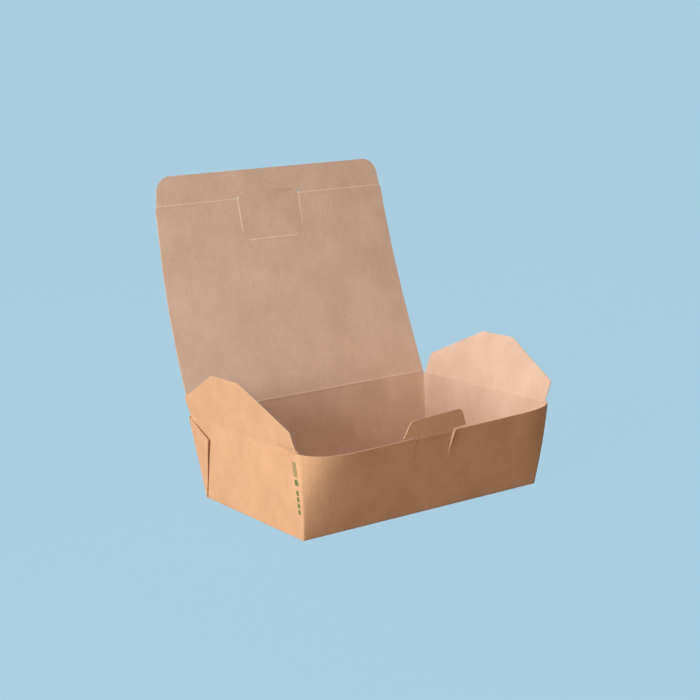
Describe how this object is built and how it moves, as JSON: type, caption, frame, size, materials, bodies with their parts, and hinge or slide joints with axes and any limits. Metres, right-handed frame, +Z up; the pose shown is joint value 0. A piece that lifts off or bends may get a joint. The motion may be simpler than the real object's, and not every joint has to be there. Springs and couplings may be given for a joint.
{
  "type": "takeaway box",
  "caption": "Open kraft board food box with flared sides, hinged lid with tuck-in strip, end flaps and a lock tab at the front rim.",
  "frame": {"origin": "middle of the underside of the base, on the surface that the box stands on", "axes": "+Z up, +X along the front wall from the left end wall to the right one, +Y from the front wall to the lid's crease"},
  "size_m": [0.236, 0.2074, 0.2288],
  "materials": {
    "kraft_board": "matt unbleached kraft board"
  },
  "bodies": {
    "tray": {"tray": "kraft_board"},
    "lid": {"lid": "kraft_board"},
    "tuck_flap": {"tuck_flap": "kraft_board"},
    "slot_flap": {"slot_flap": "kraft_board"},
    "left_end_flap": {"left_end_flap": "kraft_board"},
    "right_end_flap": {"right_end_flap": "kraft_board"},
    "lock_tab": {"lock_tab": "kraft_board"}
  },
  "joints": [
    {"name": "lid_crease", "type": "hinge", "parent": "tray", "child": "lid", "pos_m": [0, 0.07375, 0.062], "axis": [1, 0, 0], "range_deg": [-74, 106.4]},
    {"name": "tuck_flap_crease", "type": "hinge", "parent": "lid", "child": "tuck_flap", "pos_m": [0, 0.11653, 0.20734], "axis": [1, 0, 0], "range_deg": [-30, 96]},
    {"name": "slot_flap_crease", "type": "hinge", "parent": "lid", "child": "slot_flap", "pos_m": [-0.004, 0.11048, 0.17628], "axis": [-1, 0, 0], "range_deg": [-25, 0]},
    {"name": "left_end_flap_crease", "type": "hinge", "parent": "tray", "child": "left_end_flap", "pos_m": [-0.10425, 0, 0.06115], "axis": [0, 1, 0], "range_deg": [-75, 105]},
    {"name": "right_end_flap_crease", "type": "hinge", "parent": "tray", "child": "right_end_flap", "pos_m": [0.10425, 0, 0.06115], "axis": [0, -1, 0], "range_deg": [-66, 114]},
    {"name": "lock_tab_crease", "type": "hinge", "parent": "tray", "child": "lock_tab", "pos_m": [-0.004, -0.08459, 0.05805], "axis": [-1, 0, 0], "range_deg": [-63, 90]}
  ],
  "couplings": [
    {"joint": "lock_tab_crease", "follows": "lid_crease", "ratio": 0.83}
  ]
}
